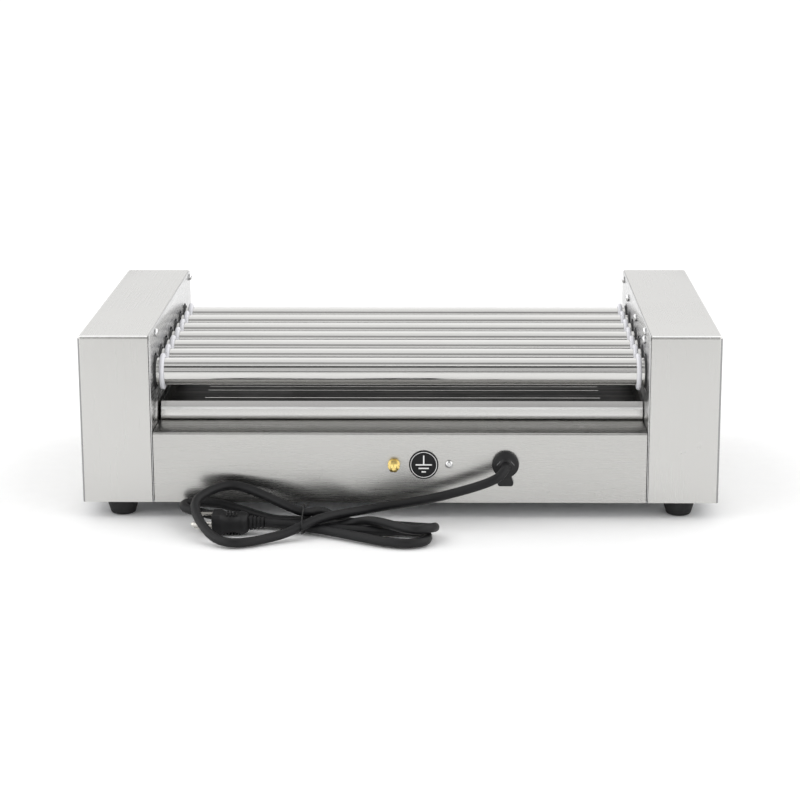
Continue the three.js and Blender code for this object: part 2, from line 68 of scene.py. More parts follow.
CONTROL_Z = 48.0  # height of the controls on the front panel
KNOB_X = {"front": -10, "rear": 110}
LAMP_X = {"front": -65, "rear": 55}
SWITCH_X = -150
KNOB_DEPTH = 13

GLAND = (-96.2, 51.7)  # places on the back panel, as (x, z)
EARTH = (5.1, 51.0)
BADGE_AT = (-22.0, 51.0)
PANEL_SCREW = (-45.1, 51.4)
STUD_LENGTH = 13.0

# The cord's route, as in the CAD source.
CORD_ROUTE = [
    (-96.2, 173.2, 51.4), (-95.9, 178.6, 50.9), (-88, 187.5, 44.5), (-42, 186.5, 28.4), (26.5, 188, 15.8),
    (70, 216.5, 15), (104.5, 237.5, 6.2), (144, 256, 4.8), (162, 246, 7), (181, 214, 21), (180, 198, 28),
    (152, 177.5, 34.6), (85, 199.8, 16.4), (70, 189, 13.6), (50, 190, 5.2), (20, 199, 4.8), (-28, 218, 7.4),
    (-32.4, 229.5, 11.4), (-27.5, 241, 14), (-14, 246.5, 14.1), (22, 219, 13.8), (37, 206, 8.8),
    (53, 202.3, 5.2), (85, 195, 6.6), (115, 185, 5.4), (165, 169.9, 15), (193.5, 177, 17.4), (194, 188, 16.8),
    (182, 197, 15.6), (135, 196.5, 6.6), (85, 204.3, 6.6), (50, 215, 4.9), (10, 221.5, 4.8), (-10, 221, 4.8),
    (-24, 228, 4.8), (-24, 249, 4.8), (-10, 256, 4.8), (8, 252.5, 4.8), (85, 213.4, 6.6), (119.2, 214, 10.3),
]
CORD_RADIUS = 4.2


def placed(name, data):
    """A new object in the scene."""
    obj = bpy.data.objects.new(name, data)
    bpy.context.scene.collection.objects.link(obj)
    return obj


# ---- camera ----

def make_camera():
    yaw, pitch, roll = (math.radians(a) for a in (1.290, 13.819, -0.231))
    forward = Vector((math.sin(yaw) * math.cos(pitch), -math.cos(yaw) * math.cos(pitch), -math.sin(pitch)))
    level = forward.cross(Vector((0, 0, 1))).normalized()
    upright = level.cross(forward)
    right = level * math.cos(roll) + upright * math.sin(roll)
    up = upright * math.cos(roll) - level * math.sin(roll)
    data = bpy.data.cameras.new("camera")
    data.sensor_width = 36
    data.lens = 100
    data.clip_end = 50
    camera = placed("camera", data)
    matrix = Matrix((right, up, -forward)).transposed().to_4x4()
    matrix.translation = Vector((-0.0445, 2.1119, 0.5904))
    camera.matrix_world = matrix
    bpy.context.scene.camera = camera


make_camera()


# ---- materials ----

class Graph:
    """Short ways to add nodes to a node tree."""

    def __init__(self, tree):
        self.nodes, self.links = tree.nodes, tree.links

    def link(self, source, node, socket):
        self.links.new(source, node.inputs[socket])

    def ranged(self, value, low, high, start=0.3, end=0.7):
        node = self.nodes.new("ShaderNodeMapRange")
        for socket, number in (("From Min", start), ("From Max", end), ("To Min", low), ("To Max", high)):
            node.inputs[socket].default_value = number
        self.link(value, node, "Value")
        return node.outputs[0]


class Look(Graph):
    """A node material whose shader is fed by noise in the object's own coordinates (metres)."""

    def __init__(self, name):
        self.material = bpy.data.materials.new(name)
        self.material.use_nodes = True
        super().__init__(self.material.node_tree)
        self.nodes.clear()
        output = self.nodes.new("ShaderNodeOutputMaterial")
        self.shader = self.nodes.new("ShaderNodeBsdfPrincipled")
        self.links.new(self.shader.outputs[0], output.inputs["Surface"])
        self.place = self.nodes.new("ShaderNodeTexCoord").outputs["Object"]

    def noise(self, scale, detail=3.0, rough=0.55, stretch=(1, 1, 1), distort=0.0):
        mapping = self.nodes.new("ShaderNodeMapping")
        mapping.inputs["Scale"].default_value = stretch
        self.link(self.place, mapping, "Vector")
        noise = self.nodes.new("ShaderNodeTexNoise")
        noise.inputs["Scale"].default_value = scale
        noise.inputs["Detail"].default_value = detail
        noise.inputs["Roughness"].default_value = rough
        noise.inputs["Distortion"].default_value = distort
        self.link(mapping.outputs[0], noise, "Vector")
        return noise.outputs["Fac"]

    def blend(self, factor, first, second, kind="MIX"):
        node = self.nodes.new("ShaderNodeMix")
        node.data_type = "RGBA"
        node.blend_type = kind
        for socket, value in ((0, factor), (6, first), (7, second)):
            if isinstance(value, (tuple, float)):
                node.inputs[socket].default_value = value
            else:
                self.links.new(value, node.inputs[socket])
        return node.outputs[2]

    def sum(self, first, second, weight):
        node = self.nodes.new("ShaderNodeMath")
        node.operation = "MULTIPLY_ADD"
        self.links.new(second, node.inputs[0])
        node.inputs[1].default_value = weight
        self.links.new(first, node.inputs[2])
        return node.outputs[0]

    def bump(self, height, strength, distance):
        node = self.nodes.new("ShaderNodeBump")
        node.inputs["Strength"].default_value = strength
        node.inputs["Distance"].default_value = distance
        self.link(height, node, "Height")
        self.link(node.outputs[0], self.shader, "Normal")

    def set(self, **sockets):
        for name, value in sockets.items():
            self.shader.inputs[name.replace("_", " ")].default_value = value


def shade(color, by):
    """A color with its brightness multiplied, as a socket value."""
    return tuple(min(1.0, c * by) for c in color) + (1.0,)


def brushed_steel(name, color, rough, grain, spread=0.04, streak=0.018, strength=0.1):
    """Rolled sheet with fine lines along one axis, a cloudy sheen and faint handling marks."""
    look = Look(name)
    along = tuple(0.012 if axis == grain else 1.0 for axis in "xyz")
    lines = look.noise(1400, 4, 0.6, along)
    broad = look.noise(520, 2, 0.5, along)
    clouds = look.noise(7, 4, 0.55, distort=0.4)
    marks = look.noise(38, 6, 0.7, distort=1.2)
    both = look.sum(lines, broad, 0.6)
    tint = look.blend(look.ranged(both, 0, 1, 0.55, 1.05), shade(color, 1 - streak), shade(color, 1 + streak))
    haze = look.blend(look.ranged(clouds, 0, 1), shade((1, 1, 1), 0.96), (1.0, 1.0, 1.0, 1.0))
    look.link(look.blend(1.0, tint, haze, "MULTIPLY"), look.shader, "Base Color")
    lined = look.ranged(both, rough - spread, rough + spread, 0.55, 1.05)
    worn = look.sum(lined, look.ranged(clouds, 0, 1), 0.05)
    look.link(look.sum(worn, look.ranged(marks, 0, 1, 0.62, 0.78), 0.05), look.shader, "Roughness")
    look.bump(both, strength, 0.000008)
    look.set(Metallic=1.0)
    return look.material


def polished_steel(name, color, rough, turned=None):
    """Polished metal. turned is the axis the piece was polished about, which leaves faint rings."""
    look = Look(name)
    rings = look.noise(900, 3, 0.6, tuple(1.0 if axis == turned else 0.03 for axis in "xyz"))
    smears = look.noise(22, 5, 0.65, (0.35, 1, 1), 0.8)
    tint = look.blend(look.ranged(smears, 0, 1), shade(color, 0.95), shade(color, 1.0))
    look.link(tint, look.shader, "Base Color")
    rough_now = look.sum(look.ranged(rings, rough - 0.03, rough + 0.03), look.ranged(smears, 0, 1), 0.05)
    look.link(rough_now, look.shader, "Roughness")
    look.bump(rings, 0.12, 0.00001)
    look.set(Metallic=1.0)
    return look.material


def moulded(name, color, rough, grain=2600, depth=0.00004, tone=0.12, level=0.5, coat=0.0):
    """Moulded plastic or rubber with a fine spark-eroded grain and slightly uneven sheen."""
    look = Look(name)
    fine = look.noise(grain, 3, 0.6)
    patches = look.noise(60, 4, 0.6)
    tint = look.blend(look.ranged(patches, 0, 1), shade(color, 1 - tone), shade(color, 1 + tone))
    look.link(tint, look.shader, "Base Color")
    rough_now = look.sum(look.ranged(fine, rough - 0.04, rough + 0.04), look.ranged(patches, 0, 1), 0.08)
    look.link(rough_now, look.shader, "Roughness")
    look.bump(fine, 0.2, depth)
    look.set(Specular_IOR_Level=level, Coat_Weight=coat)
    return look.material


def baked_film(name, color):
    """A dark, dull sheet that paints the shade inside the tray, with paler streaks along x painted as
    reflections of the rollers.
    """
    look = Look(name)
    painted_streaks = look.noise(240, 4, 0.6, (0.02, 1.0, 1.0), 0.3)
    patches = look.noise(14, 5, 0.6, distort=0.6)
    both = look.sum(painted_streaks, look.ranged(patches, 0, 1, 0.3, 0.7), 0.35)
    tint = look.blend(look.ranged(both, 0, 1, 0.55, 1.0), shade(color, 0.6), shade(color, 2.6))
    look.link(tint, look.shader, "Base Color")
    look.link(look.ranged(both, 0.42, 0.34, 0.5, 1.0), look.shader, "Roughness")
    look.bump(painted_streaks, 0.1, 0.00001)
    look.set(Specular_IOR_Level=0.02)
    return look.material


def galvanised(name, color):
    """Zinc-coated sheet: soft spangle cells of differing brightness."""
    look = Look(name)
    cells = look.nodes.new("ShaderNodeTexVoronoi")
    cells.inputs["Scale"].default_value = 160
    look.link(look.place, cells, "Vector")
    distance = cells.outputs["Distance"]
    grime = look.noise(25, 5, 0.6)
    tone = look.blend(look.ranged(distance, 0, 1, 0, 0.9), shade(color, 0.9), shade(color, 1.08))
    look.link(look.blend(look.ranged(grime, 0, 0.25), tone, shade(color, 0.6)), look.shader, "Base Color")
    look.link(look.ranged(distance, 0.36, 0.55, 0, 0.9), look.shader, "Roughness")
    look.bump(distance, 0.1, 0.00003)
    look.set(Metallic=1.0)
    return look.material


STEEL = (0.585, 0.58, 0.565)
COVER_FACE = brushed_steel("cover_steel_upright_grain", STEEL, 0.22, "z", streak=0.012, strength=0.06)
COVER_TOP = brushed_steel("cover_steel_long_grain", STEEL, 0.26, "y", streak=0.012, strength=0.07)
# Paler, polished steel on narrow folds of the covers and the tray rim: a painted highlight line.
PAINTED_HIGHLIGHT = polished_steel("fold_painted_highlight_steel", (0.95, 0.95, 0.94), 0.38)
# A darker copy of the cover steel on the upright outer folds: painted shade, a dark line.
PAINTED_SHADE_BEND = polished_steel("fold_painted_shade_steel", (0.3, 0.3, 0.3), 0.24)
PANEL = brushed_steel("housing_steel", (0.525, 0.52, 0.505), 0.24, "x", streak=0.012, strength=0.06)
PLATE = brushed_steel("side_plate_steel", (0.55, 0.55, 0.55), 0.25, "y", spread=0.04)
TRAY = brushed_steel("tray_steel", (0.66, 0.655, 0.64), 0.11, "x", spread=0.02)
# A darker copy of the tray steel for the upper band of the rear rim: painted shade.
TRAY_BAND_SHADE = brushed_steel("tray_band_painted_shade_steel", (0.53, 0.525, 0.515), 0.11, "x", spread=0.02)
# Dark sheet inside the tray: painted shade, with painted reflection streaks.
TRAY_INSIDE_SHADE = baked_film("tray_inside_painted_shade", (0.03, 0.029, 0.027))
TUBE = polished_steel("roller_steel", (0.66, 0.655, 0.64), 0.1, "x")
CHROME = polished_steel("chrome_screw", (0.7, 0.7, 0.7), 0.12)
BRASS = polished_steel("brass", (0.86, 0.66, 0.24), 0.18)
NICKEL = polished_steel("plug_pin_nickel", (0.72, 0.7, 0.66), 0.16)
CHAIN = polished_steel("oiled_chain_steel", (0.2, 0.2, 0.21), 0.32)
HEATER = moulded("heater_oxide", (0.09, 0.08, 0.075), 0.55, level=0.6)
ZINC = galvanised("galvanised_steel", (0.5, 0.51, 0.52))
PTFE = moulded("white_ptfe", (0.71, 0.71, 0.745), 0.42, grain=1200, tone=0.02, depth=0.00002)
BEARING = moulded("black_bearing_plastic", (0.02, 0.02, 0.021), 0.5)
RUBBER = moulded("black_rubber", (0.012, 0.012, 0.0125), 0.62, level=0.35)
CORD = moulded("black_cord_pvc", (0.0062, 0.0062, 0.007), 0.42, grain=1500, depth=0.00003, level=0.3)
PLASTIC = moulded("black_plastic", (0.0075, 0.0075, 0.008), 0.36, level=0.35)
# Paler grey for the gland's ridges: a painted highlight.
RIDGE_HIGHLIGHT = moulded("ridge_painted_highlight_plastic", (0.17, 0.17, 0.175), 0.3)
BADGE = moulded("badge_black", (0.006, 0.006, 0.007), 0.4, depth=0.00001, level=0.3)
WHITE = moulded("white_print", (0.85, 0.85, 0.85), 0.5, tone=0.02, depth=0.00001)
INK = moulded("black_print", (0.02, 0.02, 0.02), 0.45, tone=0.1, depth=0.00001)
RED = moulded("red_rocker", (0.42, 0.012, 0.01), 0.22, depth=0.00001, coat=0.3)
AMBER = moulded("amber_lens", (0.8, 0.28, 0.02), 0.16, depth=0.00001, coat=0.4)


# ---- mesh helpers ----

def add(name, bm, materials, body="root", nodes=(), sharp=SHARP, welded=True):
    """Makes the object of a bmesh drawn in millimetres."""
    if welded:
        bmesh.ops.remove_doubles(bm, verts=bm.verts, dist=1e-4)
    bmesh.ops.recalc_face_normals(bm, faces=bm.faces)
    bm.transform(Matrix.Scale(MM, 4))
    mesh = bpy.data.meshes.new(name)
    bm.to_mesh(mesh)
    bm.free()
    obj = placed(name, mesh)
    for material in materials if isinstance(materials, (list, tuple)) else [materials]:
        mesh.materials.append(material)
    smooth(obj, sharp)
    if nodes:
        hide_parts(*nodes)
    if body:
        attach(obj, body)
    return obj


def smooth(obj, sharp):
    """Smooth shading, with edges sharper than this many degrees left crisp."""
    bm = bmesh.new()
    bm.from_mesh(obj.data)
    limit = math.radians(sharp)
    for face in bm.faces:
        face.smooth = True
    for edge in bm.edges:
        edge.smooth = len(edge.link_faces) == 2 and edge.calc_face_angle(0) < limit
    bm.to_mesh(obj.data)
    bm.free()


def settle(obj):
    """Applies an object's modifiers to its mesh."""
    bpy.context.view_layer.update()
    graph = bpy.context.evaluated_depsgraph_get()
    made = bpy.data.meshes.new_from_object(obj.evaluated_get(graph), depsgraph=graph)
    old = obj.data
    obj.modifiers.clear()
    obj.data = made
    bpy.data.meshes.remove(old)
    made.name = obj.name
    smooth(obj, SHARP)


def carve(obj, *cutters):
    """Cuts closed bmeshes, drawn in millimetres, out of an object."""
    tools = []
    for i, bm in enumerate(cutters):
        tool = add(f"{obj.name}_cutter_{i}", bm, PANEL, body=None)
        tools.append(tool)
        modifier = obj.modifiers.new("cut", "BOOLEAN")
        modifier.operation = "DIFFERENCE"
        modifier.solver = "EXACT"
        modifier.object = tool
    settle(obj)
    for tool in tools:
        bpy.data.objects.remove(tool)


def soften(obj, width, segments, angle):
    """Rounds an object's edges by a width in millimetres."""
    modifier = obj.modifiers.new("round", "BEVEL")
    modifier.width = width * MM
    modifier.segments = segments
    modifier.limit_method = "ANGLE"
    modifier.angle_limit = math.radians(angle)
    settle(obj)


def fillet(points, radius, steps, closed=False):
    """Rounds the corners of a 2D path. radius is one number, or one for each point."""
    count = len(points)
    radii = radius if isinstance(radius, (list, tuple)) else [radius] * count
    made = []
    for i, p in enumerate(points):
        p = Vector(p)
        if radii[i] <= 0 or (not closed and i in (0, count - 1)):
            made.append(tuple(p))
            continue
        a = Vector(points[i - 1]) - p
        b = Vector(points[(i + 1) % count]) - p
        reach_a, reach_b = a.length, b.length
        a.normalize()
        b.normalize()
        turn = math.pi - a.angle(b)
        if turn < 1e-3:
            made.append(tuple(p))
            continue
        cut = min(radii[i] * math.tan(turn / 2), reach_a * 0.49, reach_b * 0.49)
        real = cut / math.tan(turn / 2)
        centre = p + (a + b).normalized() * math.hypot(cut, real)
        start, end = p + a * cut - centre, p + b * cut - centre
        sweep = start.angle_signed(end)
        for k in range(steps + 1):
            t = -sweep * k / steps
            made.append((
                centre.x + start.x * math.cos(t) - start.y * math.sin(t),
                centre.y + start.x * math.sin(t) + start.y * math.cos(t),
            ))
    return made


def lathe(profile, axis, centre, sides, flute=None):
    """Turns a profile of (along, radius) about an axis through centre. flute(along, angle) scales it."""
    bm = bmesh.new()
    rings = []
    for along, radius in profile:
        ring = []
        for k in range(1 if radius < 1e-6 else sides):
            angle = 2 * math.pi * k / sides
            r = radius * (flute(along, angle) if flute else 1)
            a, b = centre[0] + r * math.cos(angle), centre[1] + r * math.sin(angle)
            ring.append(bm.verts.new(spread(axis, along, a, b)))
        rings.append(ring)
    for low, high in zip(rings, rings[1:]):
        for k in range(sides):
            n = k + 1
            quad = [low[k % len(low)], low[n % len(low)], high[n % len(high)], high[k % len(high)]]
            face = list(dict.fromkeys(quad))
            if len(face) > 2:
                bm.faces.new(face)
    return bm


def spread(axis, along, a, b):
    """A 3D point from a distance along an axis and the two other coordinates."""
    return {"x": (along, a, b), "y": (a, along, b), "z": (a, b, along)}[axis]


def loft(sections, axis):
    """A closed solid through (along, outline) sections."""
    bm = bmesh.new()
    rings = [[bm.verts.new(spread(axis, at, a, b)) for a, b in outline] for at, outline in sections]
    for low, high in zip(rings, rings[1:]):
        for k in range(len(low)):
            n = (k + 1) % len(low)
            bm.faces.new([low[k], low[n], high[n], high[k]])
    bm.faces.new(rings[0][::-1])
    bm.faces.new(rings[-1])
    return bm


def prism(outline, axis, low, high):
    """Extrudes a closed outline of the two other coordinates along an axis."""
    return loft([(low, outline), (high, outline)], axis)


def block(low, high):
    corners = [(low[1], low[2]), (high[1], low[2]), (high[1], high[2]), (low[1], high[2])]
    return prism(corners, "x", low[0], high[0])


def circle(a, b, radius, sides=48, start=0.0):
    turns = [start + 2 * math.pi * k / sides for k in range(sides)]
    return [(a + radius * math.cos(t), b + radius * math.sin(t)) for t in turns]


def strip(sides, axis, low, high):
    """A closed sheet between two sides of equal length, along an axis."""
    bm = bmesh.new()
    grid = [[[bm.verts.new(spread(axis, at, a, b)) for a, b in side] for side in sides] for at in (low, high)]
    (a0, b0), (a1, b1) = grid
    for k in range(len(a0) - 1):
        bm.faces.new([a0[k], a0[k + 1], a1[k + 1], a1[k]])
        bm.faces.new([b0[k + 1], b0[k], b1[k], b1[k + 1]])
        bm.faces.new([a0[k + 1], a0[k], b0[k], b0[k + 1]])
        bm.faces.new([a1[k], a1[k + 1], b1[k + 1], b1[k]])
    for k in (0, len(a0) - 1):
        bm.faces.new([a0[k], a1[k], b1[k], b0[k]])
    return bm


def turned_to(bm, matrix):
    bm.transform(matrix)
    return bm


def merge(*parts):
    """One bmesh of several."""
    bm = bmesh.new()
    for part in parts:
        mesh = bpy.data.meshes.new("part")
        part.to_mesh(mesh)
        part.free()
        bm.from_mesh(mesh)
        bpy.data.meshes.remove(mesh)
    return bm


def wire(points, radius, sides, closed=False):
    """A round wire through points."""
    bm = bmesh.new()
    points = [Vector(p) for p in points]
    count = len(points)
    rings, side = [], None
    for i, p in enumerate(points):
        if closed:
            along = points[(i + 1) % count] - points[i - 1]
        else:
            along = points[min(i + 1, count - 1)] - points[max(i - 1, 0)]
        along.normalize()
        if side is None:
            side = along.orthogonal()
        side = (side - along * side.dot(along)).normalized()
        up = along.cross(side)
        around = circle(0, 0, radius, sides)
        rings.append([bm.verts.new(p + side * a + up * b) for a, b in around])
    shift = 0
    if closed:
        first, last = rings[0], rings[-1]

        def apart(by):
            return sum((last[k].co - first[(k + by) % sides].co).length for k in range(sides))

        shift = min(range(sides), key=apart)
    for i in range(count if closed else count - 1):
        low, high = rings[i], rings[(i + 1) % count]
        by = shift if i == count - 1 else 0
        for k in range(sides):
            bm.faces.new([low[k], low[(k + 1) % sides], high[(k + 1 + by) % sides], high[(k + by) % sides]])
    if not closed:
        bm.faces.new(rings[0][::-1])
        bm.faces.new(rings[-1])
    return bm


def lettering(text, size, depth):
    """Figures as a bmesh in millimetres, centred, in the XY plane with their face towards +Z."""
    curve = bpy.data.curves.new("figures", "FONT")
    curve.body = text
    curve.size = size * MM
    curve.extrude = depth / 2 * MM
    curve.align_x = "CENTER"
    curve.align_y = "CENTER"
    curve.resolution_u = 4
    obj = placed("figures", curve)
    bpy.context.view_layer.update()
    graph = bpy.context.evaluated_depsgraph_get()
    mesh = bpy.data.meshes.new_from_object(obj.evaluated_get(graph), depsgraph=graph)
    bm = bmesh.new()
    bm.from_mesh(mesh)
    bm.transform(Matrix.Scale(1 / MM, 4))
    bpy.data.objects.remove(obj)
    bpy.data.curves.remove(curve)
    bpy.data.meshes.remove(mesh)
    return bm


# ---- cord, tie, plug and gland ----

def spline_points(route, per_span):
    """Points along the centripetal Catmull-Rom curve through a route."""
    route = [Vector(p) for p in route]
    route = [route[0] * 2 - route[1], *route, route[-1] * 2 - route[-2]]
    made = []
    for p0, p1, p2, p3 in zip(route, route[1:], route[2:], route[3:]):
        t0, t1 = 0.0, (p1 - p0).length ** 0.5
        t2 = t1 + (p2 - p1).length ** 0.5
        t3 = t2 + (p3 - p2).length ** 0.5
        for k in range(per_span):
            t = t1 + (t2 - t1) * k / per_span
            a1 = p0 * ((t1 - t) / (t1 - t0)) + p1 * ((t - t0) / (t1 - t0))
            a2 = p1 * ((t2 - t) / (t2 - t1)) + p2 * ((t - t1) / (t2 - t1))
            a3 = p2 * ((t3 - t) / (t3 - t2)) + p3 * ((t - t2) / (t3 - t2))
            b1 = a1 * ((t2 - t) / (t2 - t0)) + a2 * ((t - t0) / (t2 - t0))
            b2 = a2 * ((t3 - t) / (t3 - t1)) + a3 * ((t - t1) / (t3 - t1))
            made.append(b1 * ((t2 - t) / (t2 - t1)) + b2 * ((t - t1) / (t2 - t1)))
    return [*made, route[-2]]


def make_cord():
    points = [p * MM for p in spline_points(CORD_ROUTE, 14)]
    curve = bpy.data.curves.new("mains_cord", "CURVE")
    curve.dimensions = "3D"
    curve.bevel_depth = CORD_RADIUS * MM
    curve.bevel_resolution = 6
    curve.use_fill_caps = True
    spline = curve.splines.new("POLY")
    spline.points.add(len(points) - 1)
    for point, place in zip(spline.points, points):
        point.co = (*place, 1)
    spline.use_smooth = True
    curve.materials.append(CORD)
    cord = placed("mains_cord", curve)
    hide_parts("power_cord")
    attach(cord, "root")
    length = sum((b - a).length for a, b in zip(points, points[1:]))
    return cord, length


def make_tie():
    """A twisted wire tie: a ring round the strands and the twisted tail in front."""
    x = 85.0
    strands = [(195, 6.6, 5.6), (213.4, 6.6, 5.6), (226, 11.6, 7.1), (198.9, 16.8, 6.1)]
    outline = []
    for i, (a, b, r) in enumerate(strands):
        pa, pb, pr = strands[i - 1]
        na, nb, nr = strands[(i + 1) % len(strands)]
        start = math.atan2(b - pb, a - pa) - math.acos((pr - r) / math.hypot(a - pa, b - pb))
        end = math.atan2(nb - b, na - a) - math.acos((r - nr) / math.hypot(na - a, nb - b))
        while end < start:
            end += 2 * math.pi
        for k in range(9):
            t = start + (end - start) * k / 8
            outline.append((a + (r - 0.1) * math.cos(t), b + (r - 0.1) * math.sin(t)))
    ring = wire([(x + 0.35 * math.sin(k * 0.55), a, b) for k, (a, b) in enumerate(outline)], 0.62, 8, True)
    tails = []
    for phase in (0, math.pi):
        points = []
        for k in range(25):
            t = k / 24
            angle = phase + t * 7.5
            out = 0.62 * (1 - t * 0.3)
            points.append((x + out * math.cos(angle), 233.2 + 5.6 * t, 9.2 - 1.2 * t + out * math.sin(angle)))
        tails.append(wire(points, 0.5, 8))
    return add("cord_tie_wire", merge(ring, *tails), PLASTIC, nodes=["cord_tie"],
               welded=False)


def bulge(value, power):
    """Squares off an ellipse's sine or cosine."""
    return math.copysign(abs(value) ** power, value)


def section(a, b, half_a, half_b, power, sides=40):
    """A rounded rectangle as a superellipse."""
    turns = circle(0, 0, 1, sides)
    return [(a + half_a * bulge(c, 2 / power), b + half_b * bulge(s, 2 / power)) for c, s in turns]


def make_plug():
    x, y, z = 134.0, 214.0, 10.4
    stations = [
        (0, 7.2, 7.2, 2.6), (0.8, 8.4, 8.0, 3.2), (4, 10.6, 9.0, 3.6), (7, 11.2, 9.2, 4), (10, 10.2, 8.2, 4),
        (14, 9.6, 7.6, 4), (18, 9.9, 7.9, 4), (22, 11.0, 9.2, 5), (24, 11.6, 9.8, 6), (24.6, 11.7, 10, 8),
        (31.2, 11.7, 10, 8), (32, 11.1, 9.4, 8),
    ]
    body = loft([(x + at, section(y, z, a, b, p)) for at, a, b, p in stations], "x")
    grip = ((0, 6.6, 0.5), (0.5, 7, 0.9), (1.0, 7, 0.9), (1.5, 6.6, 0.5))
    grips = []
    for i in range(4):
        at = x + 9.2 + i * 2.9
        for side in (-1, 1):
            high = z + side * 8.6
            grips.append(loft([(at + d, section(y, high, a, b, 3, 20)) for d, a, b in grip], "x"))
    ribs = [(x - 14, 0), (x - 14, 4.4)]
    for i in range(4):
        at, r = x - 13.7 + i * 3.4, 5.0 + i * 0.5
        ribs += [(at, r), (at + 1.9, r + 0.15), (at + 2.2, r - 0.9), (at + 3.0, r - 0.85)]
    ribs += [(x + 0.2, 6.9), (x + 1, 6.9), (x + 1, 0)]
    relief = lathe(ribs, "x", (y, z), 32)
    moulding = add("mains_plug_moulding", merge(body, relief, *grips), CORD, nodes=["mains_plug"],
                   welded=False)
    front = x + 32
    blade = ((-1, 3.15, 0.75, 12), (15.5, 3.15, 0.75, 12), (17.1, 2.7, 0.5, 12), (17.5, 2.1, 0.25, 8))
    pins = []
    for side in (-1, 1):
        middle = (y - 6.6, z + side * 6.35)
        pins.append(loft([(front + at, section(*middle, a, b, p, 24)) for at, a, b, p in blade], "x"))
    earth_pin = [(-1, 0), (-1, 2.4), (16.6, 2.4), (18.2, 1.9), (18.9, 1.0), (19, 0)]
    pins.append(lathe([(front + at, r) for at, r in earth_pin], "x", (y + 5.3, z), 28))
    metal = add("mains_plug_pins", merge(*pins), NICKEL, welded=False)
    return moulding, metal


def make_gland():
    """The bush that holds the cord: a domed head, a lug below it, two ridges in paler grey as a painted
    highlight, and a neck.
    """
    (x, z), y = GLAND, HALF_DEPTH
    dome = [
        (0.3, 0), (0.3, 11.9), (0.8, 12.2), (3.4, 12.2), (4.1, 12.0), (4.6, 11.6), (4.9, 11.0), (5.1, 10.0),
        (5.4, 8.4), (5.8, 6.9), (6.3, 6.1), (6.8, 5.6), (7.2, 5.2), (7.5, 4.7), (7.5, 0),
    ]
    head = lathe([(y + out, r) for out, r in dome], "y", (x, z), 56)
    flank = [(5.4, 9), (5.6, 12.5), (7.4, 16.5), (6.6, 19.9)]
    outline = [(x - a, z - b) for a, b in flank] + [(x + a, z - b) for a, b in flank[::-1]]
    lug = prism(fillet(outline, [0, 3, 2.2, 5, 5, 2.2, 3, 0], 5, True), "y", y + GAP, y + 4.4)
    ridges = []
    for side in (-1, 1):
        ridge = block((-2.5, 0, -0.3), (2.5, 0.8, 0.3))
        place = Matrix.Translation((x + side * 6.3, y + 5.45, z + 2.2))
        ridges.append(turned_to(ridge, place @ Matrix.Rotation(side * math.radians(48), 4, "Y")))
    neck = lathe([(y - 9, 0), (y - 9, 8.2), (y - 8, 9.4), (y + 0.5, 9.4), (y + 0.5, 0)], "y", (x, z), 40)
    soften(add("gland_ridges", merge(*ridges), RIDGE_HIGHLIGHT), 0.15, 2, 50)
    gland = add("gland_moulding", merge(head, lug, neck), PLASTIC, nodes=["cord_gland"],
                welded=False)
    soften(gland, 0.18, 2, 50)


cord_piece, cord_length = make_cord()
tie_piece = make_tie()
plug_piece, pins_piece = make_plug()
make_gland()


# ---- body ----

def make_housing():
    """The sheet that is front panel, deck and back panel in one, with its holes."""
    y, foot, top = HALF_DEPTH, FOOT_HEIGHT, DECK_TOP
    in_y, in_top = y - SHEET, top - SHEET
    outer = fillet([(-y, foot), (-y, top), (y, top), (y, foot)], 2.0, 8)
    inner = fillet([(-in_y, foot), (-in_y, in_top), (in_y, in_top), (in_y, foot)], 0.8, 8)
    sheet = strip([outer, inner], "x", -PANEL_END, PANEL_END)
    housing = add("housing_sheet", sheet, PANEL, nodes=["centre_housing"])
    round_holes = [(*GLAND, 10, y), (EARTH[0], 51, 3.6, y), (*PANEL_SCREW, 2.3, y)]
    round_holes += [(x, CONTROL_Z, 5.2, -y) for x in (*KNOB_X.values(), *LAMP_X.values())]
    holes = [prism(circle(x, z, r), "y", at - 5, at + 5) for x, z, r, at in round_holes]
    low, high = (SWITCH_X - 10, -y - 5, CONTROL_Z - 15.4), (SWITCH_X + 10, -y + 5, CONTROL_Z + 15.4)
    holes.append(block(low, high))
    carve(housing, merge(*holes))
    soften(housing, 0.15, 1, 60)


# Places of the screws on each side plate, as (y, z).
WALL_SCREWS = {
    "left": [(-137, 164.6), (-79.3, 157), (15.9, 156.5), (118.4, 164.9), (115.5, 156.4)],
    "right": [(122.9, 164.6), (-152.5, 164.6)],
}


